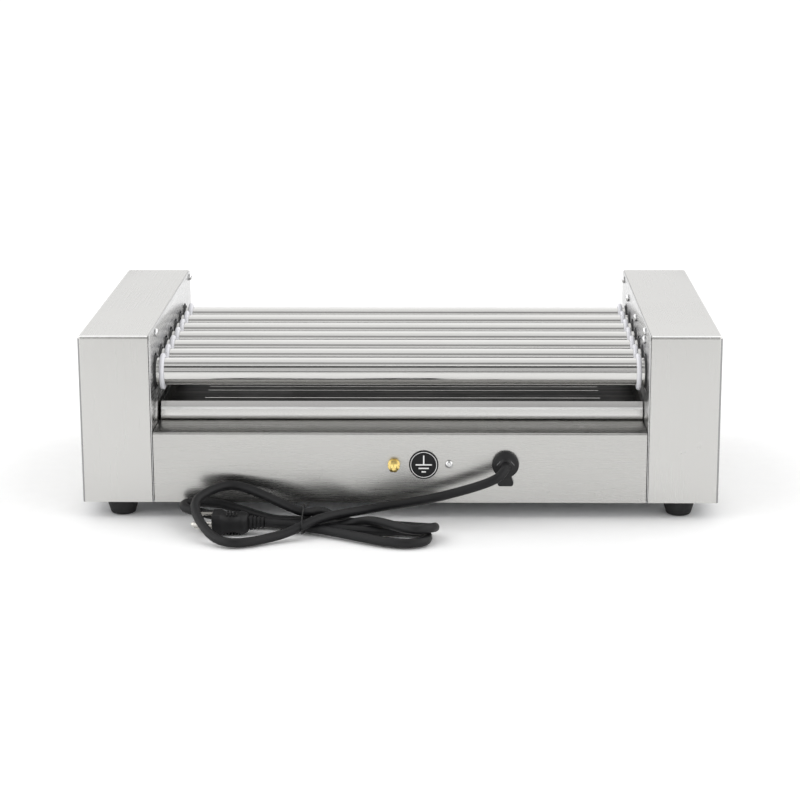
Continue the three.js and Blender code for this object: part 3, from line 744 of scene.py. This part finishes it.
def make_cover(side, hand):
    """A folded sheet box with a flange down its inner top edge, behind the side plate."""
    bm = bmesh.new()
    end = HALF_DEPTH
    x0, x1 = PLATE_X + SHEET + 0.1, HALF_WIDTH
    flange_end = end - 2.2
    flange_low = HEIGHT - 12

    def vert(x, y, z):
        return bm.verts.new((side * x, y, z))

    corners = [(x0, -end), (x1, -end), (x1, end), (x0, end)]
    top = [vert(x, y, HEIGHT) for x, y in corners]
    low = [vert(x, y, FOOT_HEIGHT) for x, y in corners]
    fold = [vert(x0, -flange_end, HEIGHT), vert(x0, flange_end, HEIGHT)]
    lips = [vert(x0, -flange_end, flange_low), vert(x0, flange_end, flange_low)]
    bm.faces.new([*top, fold[1], fold[0]])
    for a, b in ((1, 2), (2, 3), (0, 1)):
        bm.faces.new([top[a], low[a], low[b], top[b]])
    bm.faces.new([fold[0], *lips, fold[1]])
    bmesh.ops.recalc_face_normals(bm, faces=bm.faces)
    outward = next(f for f in bm.faces if abs(f.normal.z) > 0.9)
    if outward.normal.z < 0:
        bmesh.ops.reverse_faces(bm, faces=bm.faces)
    folds = [e for e in bm.edges if len(e.link_faces) == 2 and e.calc_face_angle(0) > 1]
    tight = [e for e in folds if all(v in fold for v in e.verts)]
    folds = [e for e in folds if e not in tight]
    bmesh.ops.bevel(bm, geom=tight, offset=0.5, segments=3, profile=0.5, affect="EDGES")
    folds = [e for e in folds if e.is_valid]
    bmesh.ops.bevel(bm, geom=folds, offset=2.8, segments=6, profile=0.5, affect="EDGES")
    bm.transform(Matrix.Scale(MM, 4))
    name = f"end_cover_{hand}_sheet"
    mesh = bpy.data.meshes.new(name)
    bm.to_mesh(mesh)
    bm.free()
    cover = placed(name, mesh)
    for finish in (COVER_TOP, COVER_FACE, PAINTED_HIGHLIGHT, PAINTED_SHADE_BEND):
        mesh.materials.append(finish)
    wall = cover.modifiers.new("wall", "SOLIDIFY")
    wall.thickness = SHEET * MM
    wall.offset = -1
    wall.use_even_offset = True
    settle(cover)
    for face in cover.data.polygons:
        out, up, across = abs(face.normal.y), face.normal.z, abs(face.normal.x)
        face.material_index = 1 if out > 0.8 else 0
        # Faces of the near top fold get the paler steel, a painted highlight; small faces of the upright
        # outer folds get the darker steel, painted shade.
        if 0.75 < up < 0.999 and out > across:
            face.material_index = 2
        elif abs(up) < 0.2 and 0.3 < across < 0.98 and face.area < 0.002:
            face.material_index = 3
    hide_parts("end_cover_left" if side < 0 else "end_cover_right")
    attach(cover, "root")


def make_side_plate(side, hand):
    """A flat sheet between the rollers and the end box, with its upper corners rounded."""
    y, bottom, top, radius = PLATE_Y, FOOT_HEIGHT + SHEET + GAP, HEIGHT - GAP, 5.0
    outline = fillet([(-y, bottom), (y, bottom), (y, top), (-y, top)], [0.5, 0.5, radius, radius], 8, True)
    low, high = sorted((side * PLATE_X, side * (PLATE_X + SHEET)))
    plate = add(f"side_plate_{hand}_sheet", prism(outline, "x", low, high), PLATE,
                nodes=[f"side_plate_{hand}"])
    low, high = low - 3, high + 3
    holes = [prism(circle(at, ROLLER_Z, 17, 64), "x", low, high) for at in ROLLER_Y]
    holes.append(prism(circle(-115, 40, 8), "x", low, high))
    if side < 0:
        holes.append(prism(circle(8.1, 47, 10), "x", low, high))
    carve(plate, merge(*holes))
    soften(plate, 0.3, 2, 60)


def make_screw(name, axis, direction, centre, base, height, radius=3.8, turn=0.0, nodes=()):
    """A cross-recessed pan-head screw standing on a face at base."""
    steps, quarter = 8, math.pi / 2
    profile = [(0, 0), (0, radius * 0.97), (height * 0.12, radius)]
    for k in range(1, steps + 1):
        t = quarter * k / steps
        profile.append((height * (0.22 + 0.78 * math.sin(t)), radius * math.cos(t) ** 0.62))
    profile[-1] = (height, 0)
    head = lathe([(base + direction * a, r) for a, r in profile], axis, centre, 36)
    way = {"x": (-quarter, 4, "Z"), "y": (0, 4, "Y"), "z": (quarter, 4, "X")}[axis]
    flip = Matrix.Identity(4) if direction > 0 else Matrix.Rotation(math.pi, 4, "X" if axis == "y" else "Y")
    top = Matrix.Translation(spread(axis, base + direction * height, *centre))
    place = top @ flip @ Matrix.Rotation(*way)
    screw = add(name, head, CHROME, nodes=nodes)
    cutters = []
    for angle in (turn, turn + quarter):
        bar = block((-radius * 0.62, -height * 0.62, -0.5), (radius * 0.62, 5, 0.5))
        cutters.append(turned_to(bar, place @ Matrix.Rotation(angle, 4, "Y")))
    carve(screw, *cutters)


def make_rail(side, hand):
    """A strip of black plastic with a collar for each tube, which reaches out through the side plate."""
    name = f"bearing_rail_{hand}_strip"
    start = PLATE_X + SHEET + GAP
    low, high = sorted((side * start, side * (start + 7)))
    y0, y1, z0, z1 = ROLLER_Y[0] - 22, ROLLER_Y[-1] + 22, ROLLER_Z - 17, ROLLER_Z + 17
    outline = fillet([(y0, z0), (y1, z0), (y1, z1), (y0, z1)], 4, 5, True)
    plain = prism(outline, "x", low, high)
    rail = add(name, plain, BEARING, nodes=[f"bearing_rail_{hand}"])
    holes = [prism(circle(y, ROLLER_Z, 14.1, 48), "x", low - 2, high + 2) for y in ROLLER_Y]
    carve(rail, merge(*holes))
    tip, root = 223.4, start + 6.8
    corners = [(tip, BORE_RADIUS), (tip, COLLAR_RADIUS), (root, COLLAR_RADIUS), (root, BORE_RADIUS)]
    ring = [(side * a, r) for a, r in fillet(corners, [0.3, 0.6, 0, 0], 3, True)]
    for i, y in enumerate(ROLLER_Y):
        collar = lathe([*ring, ring[0]], "x", (y, ROLLER_Z), 48)
        add(f"{name}_collar_{i + 1}", collar, BEARING)


def make_foot(name, x, y):
    profile = [
        (0, 0), (0, 4.2), (0.9, 4.6), (0.9, 7.6), (0, 8.2), (0, 9.6), (0.4, 10.6), (1.5, 11.5), (6.5, 13.0),
        (11.5, 14.4), (13.2, 14.8), (14.1, 14.7), (14.6, 14.3), (14.7, 13.7), (14.7, 0),
    ]
    rubber = lathe(profile, "z", (x, y), 48)
    add(name + "_rubber", rubber, RUBBER, nodes=[name], sharp=50)


def make_base():
    """The plate under the machine, with two rows of cooling slots."""
    x, y = 288.5, PLATE_Y
    outline = fillet([(-x, -y), (x, -y), (x, y), (-x, y)], 3, 4, True)
    plate = prism(outline, "z", FOOT_HEIGHT, FOOT_HEIGHT + SHEET)
    base = add("base_sheet", plate, ZINC, nodes=["base_plate"])
    slots = []
    for row in (-1, 1):
        far, near = row * 70 + 16, row * 70 - 16
        for i in range(9):
            a = -96 + i * 24
            ends = circle(a, far, 2.5, 16)[:9] + circle(a, near, 2.5, 16)[8:] + [(a + 2.5, near)]
            slots.append(prism(ends, "z", FOOT_HEIGHT - 2, FOOT_HEIGHT + 4))
    carve(base, merge(*slots))


make_housing()
for side, hand in ((-1, "left"), (1, "right")):
    make_cover(side, hand)
    make_side_plate(side, hand)
    make_rail(side, hand)
    for i, (y, z) in enumerate(WALL_SCREWS[hand]):
        name, base = f"wall_screw_{hand}_{i + 1}", side * (PLATE_X - 0.1)
        make_screw(name, "x", -side, (y, z), base, 2.9, turn=0.5 + 0.7 * i)
    for row, y in (("front", -FOOT_Y), ("rear", FOOT_Y)):
        make_foot(f"foot_{row}_{hand}", side * FOOT_X, y)
make_base()
for i, (x, y) in enumerate([(x, y) for y in (158, -158) for x in (-271, -138, 138, 271)]):
    make_screw(f"base_screw_{i + 1}", "z", -1, (x, y), FOOT_HEIGHT - 0.1, 1.9, 3.2, 0.4 * i)


# ---- rollers ----

def make_rollers():
    """Polished tubes, each with a round-edged white seal at both ends."""
    inner, outer, chamfer = ROLLER_RADIUS - 1.5, ROLLER_RADIUS, 0.4
    left, right = TUBE_ENDS
    profile = [
        (left, inner), (left, outer - chamfer), (left + chamfer, outer),
        (right - chamfer, outer), (right, outer - chamfer), (right, inner), (left, inner),
    ]
    half, middle, bore, rim = 2.25, 218.25, 13.0, 3.8
    turns = [math.pi * k / 20 for k in range(21)]
    round_edge = [(half * bulge(math.cos(t), 0.75), bore + rim * bulge(math.sin(t), 0.75)) for t in turns]
    for i, y in enumerate(ROLLER_Y):
        body, at = f"roller_{i + 1}", (y, ROLLER_Z)
        tube = lathe(profile, "x", at, 112)
        add(f"{body}_tube", tube, TUBE, body, [f"roller_tube_{i + 1}"])
        for side, hand in ((-1, "left"), (1, "right")):
            ring = [(side * (middle - across), r) for across, r in round_edge]
            seal = lathe([*ring, ring[0]], "x", at, 72)
            add(f"{body}_seal_{hand}", seal, PTFE, body, [f"seal_{hand}_{i + 1}"])


make_rollers()


# ---- drip tray ----

def make_tray():
    """A folded pan with a lip in front, a rear wall that leans in and beads along its floor."""
    t = 1.0
    left, right = -224.0, 222.3
    outer = [(-162, 90), (-162, 96.8), (-150, 96.8), (-150, 80.9), (117.5, 80.9), (116, 91.6), (113.4, 97.8)]
    inner = [(-163, 90), (-163, 97.8), (-149, 97.8), (-149, 81.9)]
    inner += [(116.35, 81.9), (114.97, 91.4), (112.48, 97.4)]
    outer_bends = [0, 0.5, 1.8, 1.2, 2.2, 8, 0]
    inner_bends = [0, 1.5, 0.8, 0.3, 1.2, 7, 0]
    pan = strip([fillet(outer, outer_bends, 6), fillet(inner, inner_bends, 6)], "x", left, right)
    corners = [(-149.6, 81.4), (116.9, 81.4), (115.5, 91.4), (113.4, 96), (-149.6, 96)]
    shape = fillet(corners, [0, 1.6, 1.2, 1.5, 1.5], 4, True)
    walls = [prism(shape, "x", x, x + t) for x in (left, right - t)]
    finishes = [TRAY, TRAY_INSIDE_SHADE, PAINTED_HIGHLIGHT, TRAY_BAND_SHADE]
    tray = add("drip_tray_sheet", merge(pan, *walls), finishes, "tray", ["drip_tray"],
               welded=False)
    soften(tray, 0.12, 1, 60)
    for face in tray.data.polygons:
        x, y, z = face.center / MM
        inside = left + t / 2 < x < right - t / 2 and -149.5 < y < 116.2 and 81.4 < z < 97.2
        faces_back = face.normal.y > 0.5
        # Faces inside the pan get the dark sheet: painted shade and painted reflections.
        if inside and not (faces_back and z > 82):
            face.material_index = 1
        # The upper band of the rear rim gets the darker tray steel: painted shade.
        elif y > 112.6 and faces_back and z > 92.55:
            face.material_index = 3
        # The bend below that band gets the paler polished steel: a painted highlight line.
        elif y > 112.6 and faces_back and z > 90.6:
            face.material_index = 2
    for i, y in enumerate((-110, -72, -34, -10, 6, 36, 74)):
        bead = [(y - 1.1, 81.85), (y - 0.6, 82.25), (y, 82.4), (y + 0.6, 82.25), (y + 1.1, 81.85)]
        add(f"drip_tray_bead_{i + 1}", prism(bead, "x", -190, 190), TRAY, "tray")


make_tray()


# ---- fittings on the back panel ----

def make_badge():
    """A black disc with the plain earth symbol and a fine ring."""
    (x, z), y = BADGE_AT, HALF_DEPTH + GAP
    edge = [(0, 0), (0, 13.1), (0.15, 13.35), (0.6, 13.35), (0.8, 13.1), (0.8, 0)]
    disc = lathe([(y + out, r) for out, r in edge], "y", (x, z), 72)
    add("badge_disc", disc, BADGE, nodes=["earth_badge"])
    low, high = y + 0.75, y + 0.9
    bars = [block((x - 0.6, low, z + 0.6), (x + 0.6, high, z + 8.8))]
    for i, half in enumerate((7.4, 4.7, 2.0)):
        top = z + 0.6 - i * 3.3
        bars.append(block((x - half, low, top - 1.2), (x + half, high, top)))
    ring = lathe([(low, 11.5), (high, 11.5), (high, 12.0), (low, 12.0), (low, 11.5)], "y", (x, z), 72)
    add("badge_symbol", merge(*bars, ring), WHITE, welded=False)


def make_terminal():
    """The earth stud with its thread, washers and nuts."""
    (x, z), y = EARTH, HALF_DEPTH
    corners = [(y + 0.3, 3.0), (y + 0.3, 5.6), (y + 1.3, 5.6), (y + 1.3, 3.0)]
    washer = lathe(fillet(corners, [0, 0.25, 0.25, 0], 2, True) + corners[:1], "y", (x, z), 48)
    inner_nut = prism(circle(x, z, 5.45, 6, 0.3), "y", y + 1.5, y + 3.6)
    outer_nut = prism(circle(x, z, 5.5, 6, 0.1), "y", y + 5.0, y + 9.0)
    edge = [(4, 0), (4, 5.2), (4.3, 5.55), (4.9, 5.55), (5.1, 5.2), (5.1, 0)]
    collar = lathe([(y + out, r) for out, r in edge], "y", (x, z), 48)
    stud = [(y - 8, 0), (y - 8, 2.6)]
    at = y - 7.8
    while at < y + 12.2:
        stud += [(at, 2.95), (at + 0.35, 2.55)]
        at += 0.7
    stud += [(y + 12.6, 2.4), (y + STUD_LENGTH, 1.9), (y + STUD_LENGTH, 0)]
    rear_nut = prism(circle(x, z, 5.45, 6), "y", y - SHEET - 3, y - SHEET - GAP)
    parts = [washer, inner_nut, outer_nut, collar, lathe(stud, "y", (x, z), 40), rear_nut]
    terminal = add("earth_stud", merge(*parts), BRASS, nodes=["earth_terminal"], welded=False)
    soften(terminal, 0.22, 2, 50)


make_badge()
make_terminal()
make_screw("panel_screw_head", "y", 1, PANEL_SCREW, HALF_DEPTH + GAP, 2.3, 3.75, 0.75, ["panel_screw"])


# ---- controls on the front panel ----

def make_knob(zone, x):
    """A fluted knob with a skirt, and its white pointer, on the body that turns with it."""
    y, z = -HALF_DEPTH, CONTROL_Z
    front = y - KNOB_DEPTH
    name, body = f"knob_{zone}", f"{zone}_knob"

    def flutes(along, angle):
        if not front + 1.0 < along < y - 4.2:
            return 1.0
        return 1 - 0.035 * (0.5 + 0.5 * math.cos(20 * angle)) ** 2

    profile = [
        (front + 0.5, 0), (front + 0.5, 9.4), (front, 10.2), (front, 12.2), (front + 0.35, 13.0),
        (front + 1.1, 13.5), (front + 2.4, 13.6), (y - 6.5, 14.1), (y - 4.4, 14.3), (y - 3.6, 14.6),
        (y - 2.9, 15.6), (y - 2.3, 17.2), (y - 1.7, 17.9), (y - 1.1, 18.0), (y - 0.8, 17.7), (y - 0.8, 3),
        (y + 13, 3), (y + 13, 0),
    ]
    grip = lathe(profile, "y", (x, z), 160, flutes)
    add(f"{name}_grip", grip, PLASTIC, body, [name], sharp=50)
    pointer = merge(
        block((x - 0.6, front + 0.25, z + 3.5), (x + 0.6, front + 0.7, z + 9.2)),
        block((x - 0.55, y - 2.95, z + 14.9), (x + 0.55, y - 1.6, z + 17.4)),
    )
    add(f"{name}_pointer", pointer, WHITE, body, welded=False)


def make_dial(name, x):
    """Figures and ticks printed round a knob: 0 at the top, rising clockwise to 9."""
    face = -HALF_DEPTH
    upright = Matrix.Rotation(math.pi / 2, 4, "X")
    parts = []
    for i in range(10):
        angle = math.radians(90 - 30 * i)
        c, s = math.cos(angle), math.sin(angle)
        tick = block((19.4, -0.06, -0.28), (21.2, 0, 0.28))
        middle = Matrix.Translation((x, face, CONTROL_Z))
        parts.append(turned_to(tick, middle @ Matrix.Rotation(-angle, 4, "Y")))
        place = Matrix.Translation((x + 24.6 * c, face - 0.03, CONTROL_Z + 24.6 * s))
        parts.append(turned_to(lettering(str(i), 4.6, 0.06), place @ upright))
    add(name, merge(*parts), INK, welded=False)


def make_switch():
    """A snap-in frame and its shell, with a red rocker that leans one way at rest."""
    x, y, z = SWITCH_X, -HALF_DEPTH, CONTROL_Z
    corners = [(x - 12, z - 17.5), (x + 12, z - 17.5), (x + 12, z + 17.5), (x - 12, z + 17.5)]
    rim = prism(fillet(corners, 2, 5, True), "y", y - 2, y - GAP)
    body = add("switch_frame", rim, PLASTIC, nodes=["switch_body"])
    soften(body, 0.6, 3, 50)
    housing = block((x - 9.6, y - 1, z - 15), (x + 9.6, y + 27, z + 15))
    shell = add("switch_shell", housing, PLASTIC)
    for part in (body, shell):
        carve(part, block((x - 8.2, y - 4, z - 13.9), (x + 8.2, y + 8, z + 13.9)))
    side = [(6.4, 4), (5, 11.2), (3.6, 12.0), (-3.4, 12.7), (-4.2, 12.2)]
    dished = [(-4.0 + 1.7 * (1 - t * t) - 0.15, -12.0 * t) for t in (-1 + k / 6 for k in range(13))]
    shape = side + dished + [(a, -b) for a, b in side[::-1]]
    bar = block((-0.45, -4.0, 4.4), (0.45, -2.2, 9.0))
    ring = lathe([(-4.0, 2.0), (-4.0, 2.7), (-2.2, 2.7), (-2.2, 2.0), (-4.0, 2.0)], "y", (0, -7), 32)
    tilt = Matrix.Translation((x, y, z)) @ Matrix.Rotation(math.radians(9), 4, "X")
    rocker = turned_to(prism(shape[::-1], "x", -7.6, 7.6), tilt)
    paddle = add("rocker_paddle", rocker, RED, "rocker", ["switch_rocker"])
    soften(paddle, 0.4, 3, 50)
    add("rocker_marks", turned_to(merge(bar, ring), tilt), WHITE, "rocker", welded=False)


def make_lamp(name, x):
    """A chrome bezel and a domed amber lens with fine ribs."""
    y = -HALF_DEPTH
    bezel = [(-0.3, 4.9), (-0.3, 6.4), (-0.6, 6.5), (-1.2, 6.4), (-1.6, 6.0), (-1.6, 5.1), (-0.3, 4.9)]
    ring = lathe([(y + out, r) for out, r in bezel], "y", (x, CONTROL_Z), 48)
    add(f"{name}_bezel", ring, CHROME)
    dome = [
        (-4, 0), (-3.95, 1.2), (-3.7, 2.4), (-3.2, 3.5), (-2.5, 4.3), (-1.6, 4.75), (-0.3, 4.75),
        (-0.3, 4.65), (18, 4.65), (18, 0),
    ]

    def ribs(along, angle):
        return 1 - (0.03 * (0.5 + 0.5 * math.cos(16 * angle)) if along < y - 1 else 0)

    lens = lathe([(y + out, r) for out, r in dome], "y", (x, CONTROL_Z), 96, ribs)
    add(f"{name}_lens", lens, AMBER, nodes=[name])


for zone in ("front", "rear"):
    make_knob(zone, KNOB_X[zone])
    make_dial(f"dial_{zone}_figures", KNOB_X[zone])
    make_lamp(f"lamp_{zone}", LAMP_X[zone])
make_switch()


# ---- CAD nodes that show as they are, with their finish ----

FINISH = {
    "gear_motor": ZINC, "thermostat_front": ZINC, "thermostat_rear": ZINC, "heater_rack": HEATER,
    "drive_chain": CHAIN, "motor_sprocket": CHAIN,
    **{f"sprocket_{i}": CHAIN for i in range(1, 8)},
}
for node, finish in FINISH.items():
    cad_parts[node].material_slots[0].material = finish


# ---- floor and light ----

def make_floor():
    pale = moulded("pale_floor", (0.95, 0.95, 0.95), 0.8, grain=300, tone=0.01, depth=0.00001, level=0.1)
    floor = add("floor", lathe([(0, 0), (0, 2500)], "z", (0, 0), 96), pale, body=None)
    floor.location.z = -0.0004


# The light by its angle in degrees about the X axis: 0 is level towards +Y, where the camera stands, 90 is
# straight up and 180 level towards the operator. A white sweep, a dim room with dark edges, then the lamps.
DOME = [
    (-180, 1.0), (4, 1.0), (6, 0.12), (11, 0.12), (14, 0.75), (22, 0.75), (25, 0.4), (30, 0.45), (33, 0.9),
    (38, 0.85), (42, 0.25), (50, 0.18), (53, 0.04), (58, 0.05), (61, 1.3), (67, 1.25), (70, 0.5), (82, 0.42),
    (90, 0.55), (96, 0.8), (102, 1.05), (120, 1.12), (134, 1.25), (145, 1.35), (155, 1.2), (163, 1.06),
    (180, 1.0),
]
FLANK = 1.7  # strength of the lamps beyond both ends of the rollers


def make_light():
    """A studio of soft light, as bands round the rollers' axis."""
    world = bpy.data.worlds.new("studio")
    bpy.context.scene.world = world
    world.use_nodes = True
    graph = Graph(world.node_tree)
    nodes, links, ranged = graph.nodes, graph.links, graph.ranged
    dome, output = nodes["Background"], nodes["World Output"]

    def worked_out(operation, *values):
        node = nodes.new("ShaderNodeMath")
        node.operation = operation
        for value, socket in zip(values, node.inputs):
            links.new(value, socket)
        return node.outputs[0]

    def mixed(factor, first, number):
        node = nodes.new("ShaderNodeMix")
        links.new(factor, node.inputs[0])
        links.new(first, node.inputs[2])
        node.inputs[3].default_value = number
        return node.outputs[0]

    place = nodes.new("ShaderNodeTexCoord")
    apart = nodes.new("ShaderNodeSeparateXYZ")
    links.new(place.outputs["Generated"], apart.inputs[0])
    angle = worked_out("ARCTAN2", apart.outputs["Z"], apart.outputs["Y"])
    ramp = nodes.new("ShaderNodeValToRGB")
    stops = ramp.color_ramp.elements
    while len(stops) > 1:
        stops.remove(stops[-1])
    for i, (degrees, level) in enumerate(DOME):
        stop = stops[0] if i == 0 else stops.new(degrees / 360 + 0.5)
        stop.position = degrees / 360 + 0.5
        stop.color = (level / 2, level / 2, level / 2, 1)
    links.new(ranged(angle, 0, 1, -math.pi, math.pi), ramp.inputs[0])
    clutter = nodes.new("ShaderNodeTexNoise")
    clutter.inputs["Scale"].default_value = 5
    clutter.inputs["Detail"].default_value = 3
    links.new(place.outputs["Generated"], clutter.inputs["Vector"])
    uneven = ranged(clutter.outputs["Fac"], 1.2, 2.8, 0.35, 0.65)
    lit = ranged(ramp.outputs[0], 0, 1, 0.45, 0.5)
    level = worked_out("MULTIPLY", ramp.outputs[0], mixed(lit, uneven, 2.0))
    far_out = ranged(worked_out("ABSOLUTE", apart.outputs["X"]), 0, 1, 0.28, 0.5)
    links.new(mixed(far_out, level, FLANK), dome.inputs["Strength"])
    dome.inputs["Color"].default_value = (1, 1, 1, 1)
    backdrop = nodes.new("ShaderNodeBackground")
    backdrop.inputs["Color"].default_value = (1, 1, 1, 1)
    backdrop.inputs["Strength"].default_value = 1.1
    seen = nodes.new("ShaderNodeLightPath")
    either = nodes.new("ShaderNodeMixShader")
    links.new(seen.outputs["Is Camera Ray"], either.inputs[0])
    links.new(dome.outputs[0], either.inputs[1])
    links.new(backdrop.outputs[0], either.inputs[2])
    links.new(either.outputs[0], output.inputs["Surface"])
    bpy.context.scene.view_settings.view_transform = "Standard"


make_floor()
make_light()
